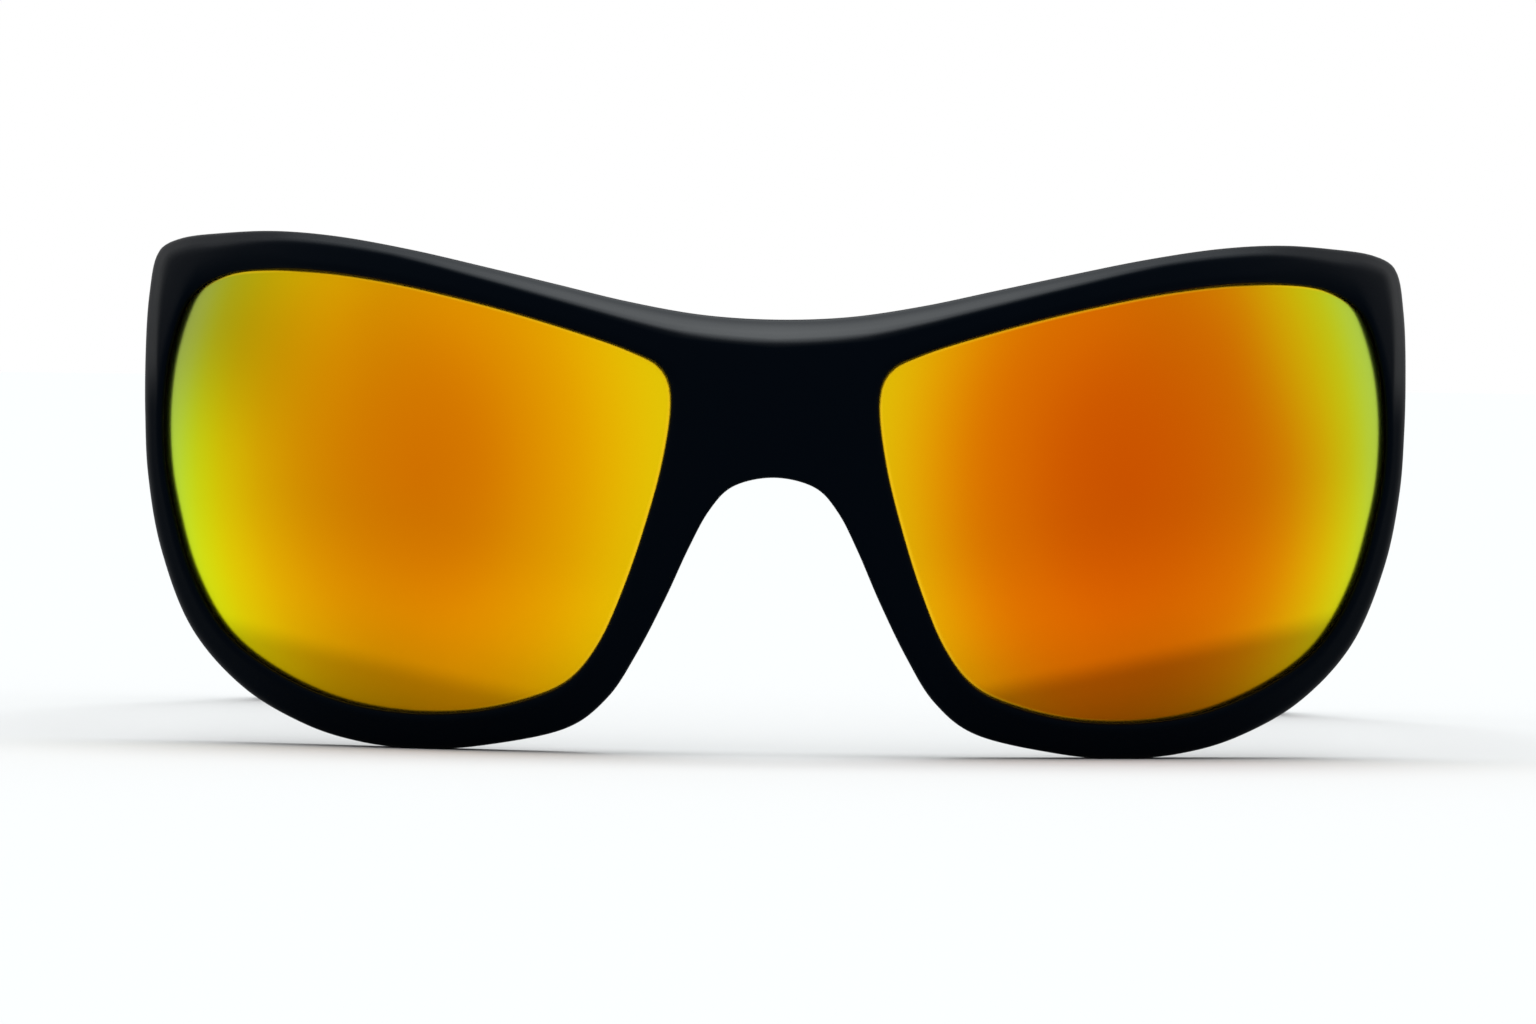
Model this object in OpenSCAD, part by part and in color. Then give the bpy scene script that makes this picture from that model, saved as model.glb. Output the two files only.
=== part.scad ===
// Wraparound glacier glasses: one-piece front, two sphere-cut mirrored lenses, two folding temples.
// Millimetres, +Z up, the front faces -Y, and +X is the wearer's left.
// The glasses stand open on their lower rims and temple tips. The origin is on that
// surface, midway across the front and midway from the bridge to the tips.

/* [Front] */
// Width of the front across its end pieces
front_w = 140; // [126:1:168]
// Height of the front from the surface it stands on to the brow
front_h = 56.2; // [47:0.5:67]
// Distance that the middle of each lens lies out from the bridge
dome_x = 18; // [15:0.5:22]
// Height of the middle of each lens above the surface the glasses stand on
dome_z = 28; // [24:0.5:32]
// How far the front stands proud of the lens
lip_front = 1; // [0.8:0.1:1.5]
// Thickness of the rim behind the lens
lip_back = 1.3; // [1:0.1:2]
// Height of the end pieces, and of the temples where they meet them
end_h = 15.8; // [13:0.2:18]
// Thickness of the end pieces, outside face to hinge face
end_t = 4.5; // [3.6:0.1:5.4]

/* [Lenses] */
// Angle that the lenses wrap round, from their middle to the side of the front; 52 gives an 8 base curve
wrap = 52; // [44:1:60]
// Lens thickness
lens_t = 2.2; // [1.8:0.1:2.8]
// How far the lens edge reaches into its groove
groove = 0.8; // [0.6:0.1:1]
// Play between the lens and its groove
lens_play = 0.06; // [0.04:0.01:0.1]

/* [Hinges] */
// Radius of the hinge barrel
barrel_r = 1.6; // [1.4:0.05:1.9]
// Length of the hinge barrel
barrel_h = 10; // [8.4:0.2:12]
// Knuckles in the barrel, shared by the two leaves
knuckles = 5; // [3, 5, 7]
// Gap between neighbouring knuckles
knuckle_gap = 0.08; // [0.05:0.01:0.15]
// Radius of the hinge screw
screw_r = 0.7; // [0.6:0.05:0.85]
// Radial clearance of the hinge screw in the knuckles
screw_fit = 0.03; // [0.01:0.01:0.08]
// Thickness of a hinge leaf
leaf_t = 1; // [0.8:0.1:1.2]
// Length of a hinge leaf from the hinge axis
leaf_l = 8; // [7:0.5:9.5]
// Radius of the leaf fixing screws
fixing_r = 0.6; // [0.5:0.05:0.7]

/* [Temples] */
// Length of the temple's straight run, joint face to ear bend
temple_l = 76; // [64:1:92]
// Length of the ear hook behind the bend, measured along the surface it stands on
hook_l = 42; // [35:1:50]
// Thickness of the temple at its front end
temple_t = 4.5; // [3.6:0.1:5.4]
// Thickness of the temple at the ear
ear_t = 4.2; // [3.6:0.1:5]
// Thickness of the rubber ear grip around the temple's tang
grip_wall = 0.9; // [0.75:0.05:1.1]
// Gap at the closed joint between an end piece and its temple
butt_gap = 0.3; // [0.2:0.05:0.4]
// Thickness of the steel core in the temple
core_t = 0.8; // [0.6:0.1:0.9]
// Height of the steel core in the temple
core_h = 2.4; // [1.8:0.1:2.8]
// Radius of the leash eyelet through each ear grip
eyelet_r = 1.1; // [0.9:0.1:1.4]

/* [Nose pads] */
// Length of a nose pad down the side of the nose
pad_l = 15; // [12:0.5:17]
// Depth of a nose pad, front to back
pad_d = 6; // [5:0.5:7]
// Thickness of a nose pad
pad_t = 1.9; // [1.6:0.1:2.2]
// Thickness of the wings that carry the nose pads
wing_t = 1.5; // [1.2:0.1:1.8]
// Radius of the pegs that hold a nose pad
peg_r = 0.8; // [0.6:0.05:0.9]
// Angle at which the nose pads open towards the face
flare = 20; // [14:1:26]

/* [Hidden] */
$fn = 96;
CURVE_STEPS = 3;      // straight pieces that stand for one stretch of an outline
DRAWN = [140, 56.2];  // the size that the two outlines below were drawn for
OVER = 1;             // how far a cut runs past what it cuts
PRESS = 0.02;         // radial room of a peg or fixing screw in its hole
LEAF_SEAT = 0.3;      // how far the leaf's seat lies outside the barrel

// Right half of the front's outline, from the middle of the brow round to the top of the nose arch
FRONT_HALF = [[0, 47.4], [8, 47.8], [16, 49.1], [24, 50.9], [32, 52.7], [40, 54.4], [48, 55.7], [55, 56.2],
              [61, 55.9], [66, 55.2], [68.6, 53.5], [69.4, 49], [69.6, 43], [69.4, 36], [68.9, 29], [67.3, 21],
              [63.8, 12.5], [58, 6.2], [51, 2.3], [44.5, 0.5], [38, 0], [31.5, 0.5], [22.5, 2.5], [17.8, 6],
              [14.6, 11], [11.6, 17], [9.2, 22.4], [7, 26.6], [4.4, 29.3], [0, 30.3]];
// Outline of the opening that shows the lens
OPENING = [[11.3, 38.5], [12.4, 42], [16, 43.9], [22, 45.9], [29, 47.9], [36, 49.6], [43, 51], [50, 51.9],
           [56, 52], [61, 51.2], [64.6, 48.6], [66.4, 43.8], [67.2, 38], [67.1, 32], [66.2, 26.5], [64, 19],
           [60.3, 12.6], [55, 8.4], [48, 5.3], [40.5, 4], [33, 4.2], [26.5, 5.7], [22, 7.9], [18.8, 12],
           [16.2, 18], [13.9, 25], [12.1, 32]];

stretch = [front_w / DRAWN[0], front_h / DRAWN[1]];
half_w = front_w / 2;
// Radius of the lens front surface
lens_r = (half_w - dome_x) / sin(wrap);
shell_front = lens_r + lip_front;
shell_back = lens_r - lens_t - lip_back;
front_y = -lip_front;

// The end pieces sit level with the top of the outline's outer corner
end_top = front_h - 1.6;
end_low = end_top - end_h;
hinge_x = half_w - end_t - barrel_r - LEAF_SEAT;
hinge_z = end_low + end_h / 2;
seat_x = hinge_x + barrel_r + LEAF_SEAT;
// The temples join the front one leaf's length behind the rim
joint_y = lens_r - sqrt(pow(shell_back, 2) - pow(seat_x - dome_x, 2) - pow(hinge_z - dome_z, 2)) + leaf_l;
front_d = joint_y - front_y;
barrel_low = hinge_z - barrel_h / 2;
knuckle_h = (barrel_h - (knuckles - 1) * knuckle_gap) / knuckles;
knuckle_pitch = knuckle_h + knuckle_gap;
head_r = barrel_r - 0.3;
head_h = 0.7;
fixing_l = 2.6;
fixing_head_r = 1.1;
fixing_head_h = 0.45;
fixing_z = barrel_h * 0.3;
fixing_y = leaf_l * 0.62;

// Temple: side view as [y, z, half height], plan view as [y, x, half thickness]
temple_y = joint_y + butt_gap;
bend_y = temple_y + temple_l;
grip_y = bend_y - 8;
TIP_R = 4.2;
tip_y = bend_y + hook_l - TIP_R;
bend_z = hinge_z - 9.5;
SIDE = [[temple_y, hinge_z, end_h / 2 - 0.1], [temple_y + temple_l * 0.2, hinge_z - 1.2, 6.9],
        [temple_y + temple_l * 0.42, hinge_z - 2.6, 5.9], [temple_y + temple_l * 0.64, hinge_z - 4.4, 5.2],
        [temple_y + temple_l * 0.84, hinge_z - 6.8, 4.7], [bend_y, bend_z, 4.4],
        [bend_y + hook_l * 0.22, bend_z * 0.84, 4.3], [bend_y + hook_l * 0.44, bend_z * 0.6, 4.3],
        [bend_y + hook_l * 0.68, bend_z * 0.33, 4.3], [tip_y, TIP_R, TIP_R]];
outer_x = half_w;
PLAN = [[temple_y, outer_x - temple_t / 2, temple_t / 2],
        [temple_y + temple_l * 0.3, outer_x + 0.2 - temple_t / 2, temple_t / 2 - 0.3],
        [temple_y + temple_l * 0.7, outer_x - 0.4 - temple_t / 2, ear_t / 2 - 0.2],
        [bend_y, outer_x - 1.8 - temple_t / 2, ear_t / 2],
        [bend_y + hook_l * 0.5, outer_x - 5.2 - temple_t / 2, ear_t / 2],
        [bend_y + hook_l + OVER, outer_x - 9.6 - temple_t / 2, ear_t / 2]];
TEMPLE_STEPS = 4;
overall_y = (front_y + tip_y + TIP_R) / 2;

// Point a share t of the way from b to c on a smooth curve through a, b, c and d
function curve_point(a, b, c, d, t) =
    (2 * b + (c - a) * t + (2 * a - 5 * b + 4 * c - d) * t * t + (3 * b - a - 3 * c + d) * t * t * t) / 2;
// Smooth closed curve through the points of a list
function closed_curve(p, n) = let (m = len(p))
    [for (i = [0:m - 1], s = [0:n - 1]) curve_point(p[(i + m - 1) % m], p[i], p[(i + 1) % m], p[(i + 2) % m], s / n)];
// Smooth open curve through the points of a list
function open_curve(p, n) = let (m = len(p) - 1)
    [for (i = [0:m - 1], s = [0:n - 1])
        curve_point(p[max(i - 1, 0)], p[i], p[i + 1], p[min(i + 2, m)], s / n), p[m]];
function flat(p) = [p[0], p[1]];
function unit(v) = v / norm(v);
// Direction to the left of travel at point i of an open line
function left_of(p, i) = let (v = unit(flat(p[min(i + 1, len(p) - 1)]) - flat(p[max(i - 1, 0)]))) [-v[1], v[0]];
// A line of [u, v, half width] points as the outline of a band, its half widths changed by grow
function band(p, grow = 0) = let (m = len(p) - 1) concat(
    [for (i = [0:m]) flat(p[i]) + left_of(p, i) * (p[i][2] + grow)],
    [for (i = [m:-1:0]) flat(p[i]) - left_of(p, i) * (p[i][2] + grow)]);
// A closed clockwise outline moved out by d
function grown(p, d) = let (m = len(p))
    [for (i = [0:m - 1]) let (v = unit(p[(i + 1) % m] - p[(i + m - 1) % m])) p[i] + [-v[1], v[0]] * d];
function sized(p) = [for (q = p) [q[0] * stretch[0], q[1] * stretch[1]]];
// The whole front from its right half
function both_halves(p) = concat(p, [for (i = [len(p) - 2:-1:1]) [-p[i][0], p[i][1]]]);
// The part of an open curve between two places along its first number
function between(p, low, high) = [for (q = p) if (q[0] >= low && q[0] <= high) q];

front_outline = closed_curve(both_halves(sized(FRONT_HALF)), CURVE_STEPS);
opening_outline = closed_curve(sized(OPENING), CURVE_STEPS);
lens_outline = grown(opening_outline, groove);
groove_outline = grown(opening_outline, groove + lens_play);
side_line = open_curve(SIDE, TEMPLE_STEPS);
plan_line = open_curve(PLAN, TEMPLE_STEPS);

// Side of the nose: its top and bottom on the nose arch, and the line between them
NOSE_TOP = [8.6, 24];
NOSE_LOW = [15.2, 10];
nose_top = [NOSE_TOP[0] * stretch[0], NOSE_TOP[1] * stretch[1]];
nose_low = [NOSE_LOW[0] * stretch[0], NOSE_LOW[1] * stretch[1]];
nose_mid = (nose_top + nose_low) / 2;
nose_lean = atan2(nose_top[0] - nose_low[0], nose_top[1] - nose_low[1]);
pad_in = 0.3;         // how far the pad's face lies behind the edge of the nose arch
wing_root = 3;
pad_root = wing_root + 4;
wing_d = pad_root - wing_root + pad_d + 0.4;

// Puts the model's origin midway from front to back
module placed() translate([0, -overall_y, 0]) children();

// Draws its children on the wearer's left for s = 1, and mirrored on the right for s = -1
module on_side(s) mirror([s < 0 ? 1 : 0, 0, 0]) children();

// An outline in X and Z, drawn through from y0 to y1
module through(outline, y0, y1) translate([0, y1, 0]) rotate([90, 0, 0]) linear_extrude(y1 - y0) polygon(outline);

// A plan view in Y and X, drawn up from z0 to z1
module upright(outline, z0, z1) translate([0, 0, z0]) linear_extrude(z1 - z0)
    polygon([for (p = outline) [p[1], p[0]]]);

// A side view in Y and Z, drawn across from x0 to x1
module across(outline, x0, x1) translate([x0, 0, 0]) rotate([90, 0, 90]) linear_extrude(x1 - x0) polygon(outline);

module dome(r) translate([dome_x, lens_r, dome_z]) sphere(r);

// The curved wall of the front: a dome for each lens, joined by a barrel over the bridge
module curved_wall() {
    for (s = [1, -1]) on_side(s) intersection() {
        difference() { dome(shell_front); dome(shell_back); }
        translate([dome_x, front_y - OVER, -OVER]) cube([half_w, front_d, front_h + 2 * OVER]);
    }
    intersection() {
        translate([-dome_x, lens_r, dome_z]) rotate([0, 90, 0]) difference() {
            cylinder(r = shell_front, h = 2 * dome_x);
            translate([0, 0, -OVER]) cylinder(r = shell_back, h = 2 * dome_x + 2 * OVER);
        }
        translate([-dome_x, front_y - OVER, -OVER]) cube([2 * dome_x, front_d, front_h + 2 * OVER]);
    }
}

// The block at each outer end that reaches back to the temple
module end_piece() {
    in_x = seat_x;
    face = [[in_x - 6, end_low], [half_w, end_low], [half_w, end_low + end_h * 0.5], [half_w - 0.5, end_top - 2],
            [half_w - 1.5, end_top - 0.6], [half_w - 4, end_top], [in_x - 6, end_top]];
    root_y = joint_y - leaf_l;
    plan = [[root_y - 14, half_w], [joint_y, half_w], [joint_y, in_x], [root_y - 0.4, in_x],
            [root_y - 4, in_x - 2.5], [root_y - 14, in_x - 2.5]];
    intersection() {
        through(face, front_y, joint_y);
        upright(plan, end_low - OVER, end_top + OVER);
        dome(shell_front);
    }
}

module at_nose_side() translate([nose_mid[0], wing_root, nose_mid[1]]) rotate([0, nose_lean, 0])
    rotate([0, 0, -flare]) children();

module pegs(r, l) for (z = [-1, 1]) translate([pad_in + pad_t, pad_root - wing_root + pad_d / 2, z * pad_l / 4])
    rotate([0, 90, 0]) translate([0, 0, -OVER]) cylinder(r = r, h = l + OVER, $fn = 32);

// The wing behind the rim that carries a nose pad
module nose_wing() at_nose_side() difference() {
    translate([pad_in + pad_t, 0, -pad_l / 2]) cube([wing_t, wing_d, pad_l]);
    pegs(peg_r + PRESS, wing_t + OVER);
}

// The pocket that the front leaf and the barrel sit in
module hinge_pocket() translate([seat_x - 6, joint_y - leaf_l - PRESS, barrel_low - PRESS])
    cube([6, leaf_l + OVER, barrel_h + head_h + 0.4]);

// Pilot holes for the two screws of a leaf; d is -1 on the front and 1 on the temple
module pilot_holes(d) for (z = [-1, 1])
    translate([seat_x - OVER, joint_y + d * fixing_y, hinge_z + z * fixing_z])
        rotate([0, 90, 0]) cylinder(r = fixing_r + PRESS, h = OVER + fixing_l - leaf_t + 0.3, $fn = 32);

module front_frame() color("#101214") placed() difference() {
    union() {
        intersection() {
            curved_wall();
            through(front_outline, front_y - OVER, joint_y);
        }
        for (s = [1, -1]) on_side(s) {
            end_piece();
            nose_wing();
        }
    }
    for (s = [1, -1]) on_side(s) {
        difference() {
            through(opening_outline, front_y - OVER, joint_y);
            dome(shell_back);
        }
        hinge_pocket();
        intersection() {
            difference() { dome(lens_r + lens_play); dome(lens_r - lens_t - lens_play); }
            through(groove_outline, front_y - OVER, joint_y);
        }
        pilot_holes(-1);
    }
}

module lens(s) color("#d27800") placed() on_side(s) intersection() {
    difference() { dome(lens_r); dome(lens_r - lens_t); }
    through(lens_outline, front_y - OVER, joint_y);
}

// A pad with round ends, held to its wing by two pegs
module nose_pad(s) color("#1c1d1f") placed() on_side(s) at_nose_side() {
    translate([pad_in, pad_root - wing_root + pad_d / 2, 0]) rotate([0, 90, 0]) linear_extrude(pad_t) {
        square([pad_l - pad_d, pad_d], center = true);
        for (z = [-1, 1]) translate([z * (pad_l - pad_d) / 2, 0]) circle(d = pad_d);
    }
    pegs(peg_r, wing_t);
}

// Height of the underside of knuckle k
function knuckle_z(k) = barrel_low + k * knuckle_pitch;

// One hinge leaf; its knuckles are those whose number leaves the given remainder; d is -1 or 1
module leaf(d, remainder) {
    difference() {
        union() {
            translate([seat_x - leaf_t, d > 0 ? joint_y + butt_gap : joint_y - leaf_l, barrel_low])
                cube([leaf_t, leaf_l - (d > 0 ? butt_gap : 0), barrel_h]);
            for (k = [remainder:2:knuckles - 1]) translate([hinge_x, joint_y, knuckle_z(k)])
                cylinder(r = barrel_r, h = knuckle_h);
            for (k = [remainder:2:knuckles - 1]) translate([seat_x - leaf_t, joint_y - (d > 0 ? 0 : OVER), knuckle_z(k)])
                cube([leaf_t - LEAF_SEAT, OVER, knuckle_h]);
        }
        for (k = [1 - remainder:2:knuckles - 1])
            translate([hinge_x, joint_y, knuckle_z(k) - knuckle_gap])
                cylinder(r = barrel_r + 0.12, h = knuckle_h + 2 * knuckle_gap);
        translate([hinge_x, joint_y, barrel_low - OVER])
            cylinder(r = screw_r + screw_fit, h = barrel_h + 2 * OVER);
        for (z = [-1, 1]) translate([seat_x - leaf_t, joint_y + d * fixing_y, hinge_z + z * fixing_z])
            rotate([0, 90, 0]) {
                translate([0, 0, -OVER]) cylinder(r = fixing_r + PRESS, h = leaf_t + 2 * OVER, $fn = 32);
                translate([0, 0, -OVER]) cylinder(r = fixing_head_r + PRESS, h = OVER + fixing_head_h, $fn = 32);
            }
    }
}

module front_leaf(s) color("#b9bcc0") placed() on_side(s) leaf(-1, 0);

module temple_leaf(s) color("#b9bcc0") placed() on_side(s) leaf(1, 1);

// The two screws that hold a leaf, heads flush with it
module leaf_screws(d) for (z = [-1, 1])
    translate([seat_x - leaf_t, joint_y + d * fixing_y, hinge_z + z * fixing_z]) rotate([0, 90, 0]) difference() {
        union() {
            cylinder(r = fixing_r, h = fixing_l, $fn = 32);
            cylinder(r = fixing_head_r, h = fixing_head_h, $fn = 32);
        }
        translate([-fixing_head_r - OVER, -0.15, -OVER]) cube([2 * fixing_head_r + 2 * OVER, 0.3, OVER + 0.25]);
    }

module front_leaf_screws(s) color("#8f9296") placed() on_side(s) leaf_screws(-1);

module temple_leaf_screws(s) color("#8f9296") placed() on_side(s) leaf_screws(1);

module hinge_screw(s) color("#8f9296") placed() on_side(s) translate([hinge_x, joint_y, 0]) difference() {
    union() {
        translate([0, 0, barrel_low]) cylinder(r = screw_r, h = barrel_h);
        translate([0, 0, barrel_low + barrel_h]) cylinder(r = head_r, h = head_h);
    }
    translate([-head_r - OVER, -0.2, barrel_low + barrel_h + head_h - 0.4])
        cube([2 * head_r + 2 * OVER, 0.4, 0.4 + OVER]);
}

// The temple's side and plan bands crossed, from y0 to y1, thinner by inset all round
module temple_stretch(y0, y1, inset) intersection() {
    across(band(side_line, -inset), half_w - 30, half_w + 5);
    upright(band(plan_line, -inset), -OVER, front_h + OVER);
    translate([half_w - 30, y0, -OVER]) cube([40, y1 - y0, front_h + 2 * OVER]);
}

tang_end = tip_y - 4.6;
core_y0 = grip_y - 14;
core_y1 = tang_end - 3;

// The steel core: a narrow strip on the temple's centre line, grown by play for its channel
module core_shape(play) {
    strip = [for (p = side_line) [p[0], p[1], core_h / 2]];
    plan = [for (p = plan_line) [p[0], p[1], core_t / 2]];
    intersection() {
        across(band(strip, play), half_w - 30, half_w + 5);
        upright(band(plan, play), -OVER, front_h + OVER);
        translate([half_w - 30, core_y0 - play, -OVER]) cube([40, core_y1 - core_y0 + 2 * play, front_h + 2 * OVER]);
    }
}

module temple(s) color("#101214") placed() on_side(s) difference() {
    union() {
        temple_stretch(temple_y, grip_y, 0);
        temple_stretch(grip_y - OVER, tang_end, grip_wall);
        translate([seat_x, temple_y, barrel_low - 0.6]) cube([1.4, leaf_l + 0.6, barrel_h + 1.2]);
    }
    core_shape(PRESS);
    pilot_holes(1);
}

module temple_core(s) color("#a6a9ad") placed() on_side(s) core_shape(0);

// The rubber sleeve over the tang, closed at the tip, with the leash eyelet beyond the tang
module ear_grip(s) color("#1c1d1f") placed() on_side(s) difference() {
    intersection() {
        union() {
            across(band(side_line), half_w - 30, half_w + 5);
            translate([half_w - 30, tip_y, TIP_R]) rotate([0, 90, 0]) cylinder(r = TIP_R, h = 35);
        }
        upright(band(plan_line), -OVER, front_h + OVER);
        translate([half_w - 30, grip_y, -OVER]) cube([40, hook_l + 20, front_h + 2 * OVER]);
    }
    temple_stretch(grip_y - 2 * OVER, tang_end + PRESS, grip_wall - PRESS);
    translate([half_w - 30, tip_y, TIP_R]) rotate([0, 90, 0]) cylinder(r = eyelet_r, h = 40);
}

front_frame();
lens(1);  // lens_left
lens(-1);  // lens_right
nose_pad(1);  // nose_pad_left
nose_pad(-1);  // nose_pad_right
front_leaf(1);  // front_leaf_left
front_leaf(-1);  // front_leaf_right
front_leaf_screws(1);  // front_leaf_screws_left
front_leaf_screws(-1);  // front_leaf_screws_right
temple_leaf(1);  // temple_leaf_left
temple_leaf(-1);  // temple_leaf_right
temple_leaf_screws(1);  // temple_leaf_screws_left
temple_leaf_screws(-1);  // temple_leaf_screws_right
hinge_screw(1);  // hinge_screw_left
hinge_screw(-1);  // hinge_screw_right
temple(1);  // temple_left
temple(-1);  // temple_right
temple_core(1);  // temple_core_left
temple_core(-1);  // temple_core_right
ear_grip(1);  // ear_grip_left
ear_grip(-1);  // ear_grip_right
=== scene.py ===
import math

import bpy
import numpy as np
from mathutils import Matrix, Vector


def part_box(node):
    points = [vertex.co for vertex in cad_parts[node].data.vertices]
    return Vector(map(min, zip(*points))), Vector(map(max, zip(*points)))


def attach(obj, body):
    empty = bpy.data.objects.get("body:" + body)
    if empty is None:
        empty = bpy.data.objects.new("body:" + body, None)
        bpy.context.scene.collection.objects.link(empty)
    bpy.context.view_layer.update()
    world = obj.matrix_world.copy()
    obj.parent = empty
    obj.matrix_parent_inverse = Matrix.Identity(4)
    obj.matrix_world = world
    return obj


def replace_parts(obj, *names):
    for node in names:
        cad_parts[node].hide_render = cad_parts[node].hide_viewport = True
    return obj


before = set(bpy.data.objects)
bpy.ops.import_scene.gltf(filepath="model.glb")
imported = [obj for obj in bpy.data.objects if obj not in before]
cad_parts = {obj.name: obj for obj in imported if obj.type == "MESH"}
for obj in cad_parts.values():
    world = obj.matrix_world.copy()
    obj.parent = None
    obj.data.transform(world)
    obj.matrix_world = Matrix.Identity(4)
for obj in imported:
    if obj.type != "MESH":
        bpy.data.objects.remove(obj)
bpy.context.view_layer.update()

MM = 0.001
# Sizes of the object in millimetres, as its construction has them
BRIDGE_OUT = 18.0        # each lens is cut from a sphere centred this far out
DOME_Z = 28.0
LENS_R = 52.0 / math.sin(math.radians(52))     # the lens surface turns 52 degrees over 52 mm
LENS_T = 2.2
LIP_FRONT = 1.0
LIP_BACK = 1.3
GROOVE = 0.8             # how far the lens reaches behind the edge of its opening
END_LOW, END_TOP = 38.8, 54.6
SEAT_X, HALF_W = 65.5, 70.0
HINGE_Z = 46.7
TEMPLE_L, HOOK_L = 76.0, 42.0
TIP_R = 4.2
GRIP_LAP = 8.0           # the ear grip starts this far ahead of the bend
EYELET_R = 1.1
STEPS = 12               # points on an outline for each point of its table
SAME = 0.002             # points closer than this are one point

front_low, front_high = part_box("front_frame")
SHIFT_Y = front_low.y / MM + LIP_FRONT      # row frame y of the lens apex, in millimetres
JOINT_Y = front_high.y / MM - SHIFT_Y       # end faces of the end pieces

FRONT_H = 56.2
# One half of the front's outline, from the middle of the brow round to the top of the nose arch
FRONT_HALF = [(0, 47.4), (8, 47.8), (16, 49.1), (24, 50.9), (32, 52.7), (40, 54.4), (48, 55.7), (55, FRONT_H),
              (61, 55.9), (66, 55.2), (68.6, 53.5), (69.4, 49), (69.6, 43), (69.4, 36), (68.9, 29), (67.3, 21),
              (63.8, 12.5), (58, 6.2), (51, 2.3), (44.5, 0.5), (38, 0), (31.5, 0.5), (22.5, 2.5), (17.8, 6),
              (14.6, 11), (11.6, 17), (9.2, 22.4), (7, 26.6), (4.4, 29.3), (0, 30.3)]
# The opening that shows the lens
OPENING = [(11.3, 38.5), (12.4, 42), (16, 43.9), (22, 45.9), (29, 47.9), (36, 49.6), (43, 51), (50, 51.9),
           (56, 52), (61, 51.2), (64.6, 48.6), (66.4, 43.8), (67.2, 38), (67.1, 32), (66.2, 26.5), (64, 19),
           (60.3, 12.6), (55, 8.4), (48, 5.3), (40.5, 4), (33, 4.2), (26.5, 5.7), (22, 7.9), (18.8, 12),
           (16.2, 18), (13.9, 25), (12.1, 32)]


# ---------------------------------------------------------------- outlines

def curve_point(a, b, c, d, t):
    """A point between b and c on a smooth curve through all four."""
    return (2 * b + (c - a) * t + (2 * a - 5 * b + 4 * c - d) * t * t + (3 * b - a - 3 * c + d) * t ** 3) / 2


def closed_curve(points, steps):
    """A smooth loop through these points, its first point repeated at the end."""
    p = np.array(points, float)
    n = len(p)
    line = np.array([curve_point(p[i - 1], p[i], p[(i + 1) % n], p[(i + 2) % n], s / steps)
                     for i in range(n) for s in range(steps)])
    return np.vstack([line, line[:1]])


def open_curve(points, steps):
    """A smooth line through these points."""
    p = np.array(points, float)
    n = len(p) - 1
    rows = [curve_point(p[max(i - 1, 0)], p[i], p[i + 1], p[min(i + 2, n)], s / steps)
            for i in range(n) for s in range(steps)]
    return np.array(rows + [p[n]])


def arc_lengths(line):
    return np.concatenate([[0], np.cumsum(np.linalg.norm(np.diff(line, axis=0), axis=1))])


def along(line, lengths):
    """Points at these lengths along a line."""
    s = arc_lengths(line)
    return np.stack([np.interp(lengths, s, line[:, k]) for k in range(line.shape[1])], axis=-1)


def nearest(points, line):
    """(distance, length along the line) of each point's nearest place on a line."""
    a, b = line[:-1], line[1:]
    ab = b - a
    reach = np.maximum((ab ** 2).sum(1), 1e-12)
    s = arc_lengths(line)
    seg = np.sqrt(reach)
    best, where = np.full(len(points), 1e9), np.zeros(len(points))
    for start in range(0, len(points), 2000):
        p = points[start:start + 2000]
        t = np.clip(((p[:, None] - a) * ab).sum(2) / reach, 0, 1)
        d = np.linalg.norm(p[:, None] - (a + t[..., None] * ab), axis=2)
        k = d.argmin(1)
        r = np.arange(len(p))
        best[start:start + 2000] = d[r, k]
        where[start:start + 2000] = s[k] + t[r, k] * seg[k]
    return best, where


def ease(low, high, x):
    """A smooth step from 0 at low to 1 at high."""
    t = np.clip((x - low) / (high - low), 0, 1)
    return t * t * (3 - 2 * t)


whole_outline = closed_curve(FRONT_HALF + [(-x, z) for x, z in FRONT_HALF[-2:0:-1]], STEPS)
half_outline = whole_outline[:STEPS * (len(FRONT_HALF) - 1) + 1]
opening_line = closed_curve(OPENING, STEPS)


# ---------------------------------------------------------------- making pieces

def only(obj):
    """Selects one object, and nothing else."""
    bpy.ops.object.select_all(action="DESELECT")
    obj.select_set(True)
    bpy.context.view_layer.objects.active = obj
    return obj


def sheet(name, across, down, place):
    """A grid primitive laid out by place(u, v), which gives millimetres from the lens apex."""
    bpy.ops.object.select_all(action="DESELECT")
    bpy.ops.mesh.primitive_grid_add(x_subdivisions=across, y_subdivisions=down, size=1)
    obj = bpy.context.object
    obj.name = obj.data.name = name
    flat = np.array([v.co for v in obj.data.vertices])
    u, v = np.clip(flat[:, 0] + 0.5, 0, 1), np.clip(flat[:, 1] + 0.5, 0, 1)
    set_points(obj, place(u, v))
    return obj


def set_points(obj, points):
    """Puts a mesh's points at millimetres from the lens apex."""
    put = np.array(points, float)
    put[:, 1] += SHIFT_Y
    obj.data.vertices.foreach_set("co", (put * MM).ravel())
    obj.data.update()


def get_points(obj):
    """A mesh's points in millimetres from the lens apex."""
    put = np.array([v.co for v in obj.data.vertices]) / MM
    put[:, 1] -= SHIFT_Y
    return put


def join(first, *others):
    """Joins pieces into the first one."""
    only(first)
    for o in others:
        o.select_set(True)
    bpy.ops.object.join()
    return first


def copy_of(obj, name):
    """A copy with a mesh of its own."""
    new = obj.copy()
    new.data = obj.data.copy()
    new.name = new.data.name = name
    bpy.context.collection.objects.link(new)
    return new


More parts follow.
